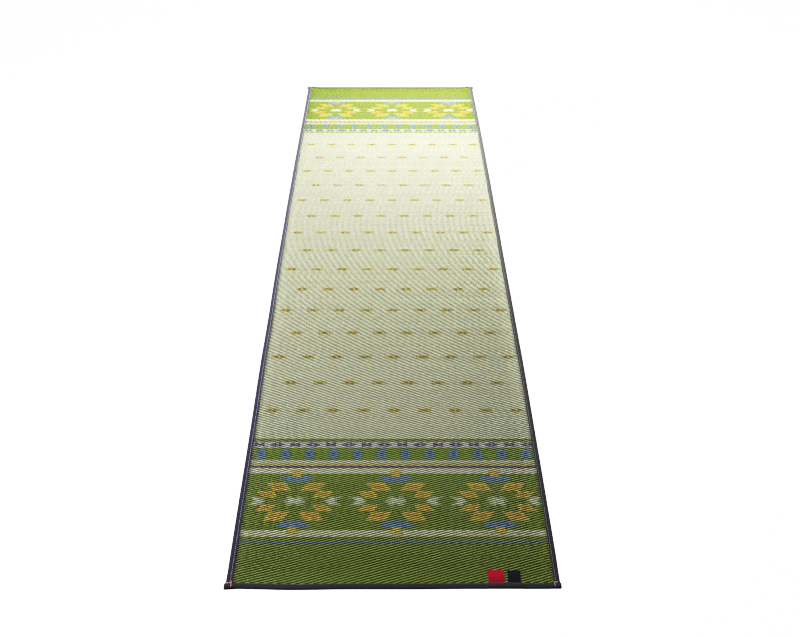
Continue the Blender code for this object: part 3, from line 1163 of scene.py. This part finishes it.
FLOOR_GLOW = 2.1
SKY_LIGHT = 0.13
PIXEL_FILTER = 1.25
SOFTBOXES = [
    {
        "name": "far_softbox",
        "location": (0.33, 0.72, 0.8),
        "target": (0.33, 0.719, 0.0),
        "width": 1.0,
        "depth": 0.6,
        "power": 46.0,
        "colour": (1.0, 0.99, 0.86),
    },
    {
        "name": "left_softbox",
        "location": (-1.1, -0.05, 0.85),
        "target": (-0.1, -0.05, 0.0),
        "width": 0.66,
        "depth": 0.66,
        "power": 33.5,
        "colour": (1.0, 0.98, 1.05),
    },
]


def floor():
    """A plain pale floor."""
    bpy.ops.object.select_all(action="DESELECT")
    bpy.ops.mesh.primitive_plane_add(size=14, location=(0, 1.5, -0.2 * MM))
    plane = bpy.context.object
    plane.name = "studio_floor"
    bpy.ops.object.transform_apply(location=True, rotation=True, scale=True)
    finish = Finish("studio_white", 0.7, Emission_Strength=FLOOR_GLOW, Specular_IOR_Level=0.1)
    finish.give("Base Color", (0.2, 0.2, 0.2, 1.0))
    finish.give("Emission Color", (1.0, 1.0, 1.0, 1.0))
    plane.data.materials.append(finish.material)
    plane.visible_diffuse = False
    plane.visible_glossy = False


def area_light(name, location, target, width, depth, power, colour):
    """A soft box that faces a target."""
    light = bpy.data.lights.new(name, "AREA")
    light.shape = "RECTANGLE"
    light.size = width
    light.size_y = depth
    light.energy = power
    light.color = colour
    lamp = bpy.data.objects.new(name, light)
    bpy.context.scene.collection.objects.link(lamp)
    lamp.location = location
    lamp.visible_camera = False
    direction = np.array(target) - np.array(location)
    yaw = math.atan2(direction[0], direction[1])
    pitch = math.atan2(direction[2], math.hypot(direction[0], direction[1]))
    lamp.rotation_euler = (math.pi / 2 + pitch, 0, -yaw)


def roll_off(view):
    """Keeps the brightest parts from burning out: a soft shoulder above the middle tones."""
    view.use_curve_mapping = True
    mapping = view.curve_mapping
    mapping.white_level = (HIGHEST_LIGHT,) * 3
    mapping.extend = "HORIZONTAL"
    curve = mapping.curves[3]
    for light, shown in SHOULDER:
        curve.points.new(light / HIGHEST_LIGHT, shown)
    mapping.update()


def studio():
    """A softbox low over the far half and one at the left, which leave the near end darker."""
    scene = bpy.context.scene
    world = bpy.data.worlds.new("studio_world")
    world.use_nodes = True
    sky = world.node_tree.nodes["Background"]
    sky.inputs["Color"].default_value = (1.0, 1.0, 1.0, 1.0)
    sky.inputs["Strength"].default_value = SKY_LIGHT
    scene.world = world
    scene.cycles.filter_width = PIXEL_FILTER
    scene.view_settings.view_transform = "Standard"
    roll_off(scene.view_settings)
    for softbox in SOFTBOXES:
        area_light(**softbox)


def camera():
    """The photograph's viewpoint."""
    data = bpy.data.cameras.new("photo_camera")
    data.lens = CAMERA_LENS
    data.sensor_width = 36
    data.shift_x = CAMERA_SHIFT
    eye = bpy.data.objects.new("photo_camera", data)
    bpy.context.scene.collection.objects.link(eye)
    eye.location = CAMERA_PLACE
    eye.rotation_euler = (math.radians(90 - CAMERA_DOWN), 0, 0)
    bpy.context.scene.camera = eye


camera()
studio()
floor()
rush_pieces(rush_finish())
navy = tape_finish("navy_tape", linear(22, 20, 40), linear(57, 54, 80), 0.7)
worn = tape_finish("worn_tape", linear(27, 26, 33), linear(62, 60, 70), 0.6)
side_tape("left", navy)
side_tape("right", worn)
end_tape("near", worn)
end_tape("far", worn)
lilac = thread_finish("lilac_thread", linear(204, 202, 222), linear(130, 128, 154), 0.6)
dull = thread_finish("dull_thread", linear(142, 144, 146), linear(92, 92, 102), 0.6)
side_stitches("left", lilac)
side_stitches("right", dull)
end_stitches("near", dull)
end_stitches("far", dull)
orange = thread_finish("orange_thread", linear(236, 196, 178), linear(168, 112, 94), 0.5)
corner_tacks("near", orange)
corner_tacks("far", dull)
red = label_finish("red_satin", linear(214, 16, 50), linear(112, 3, 22))
label_tab("label_red", red)
dark = label_finish("dark_satin", linear(24, 28, 36), linear(9, 13, 17))
label_tab("label_dark", dark)
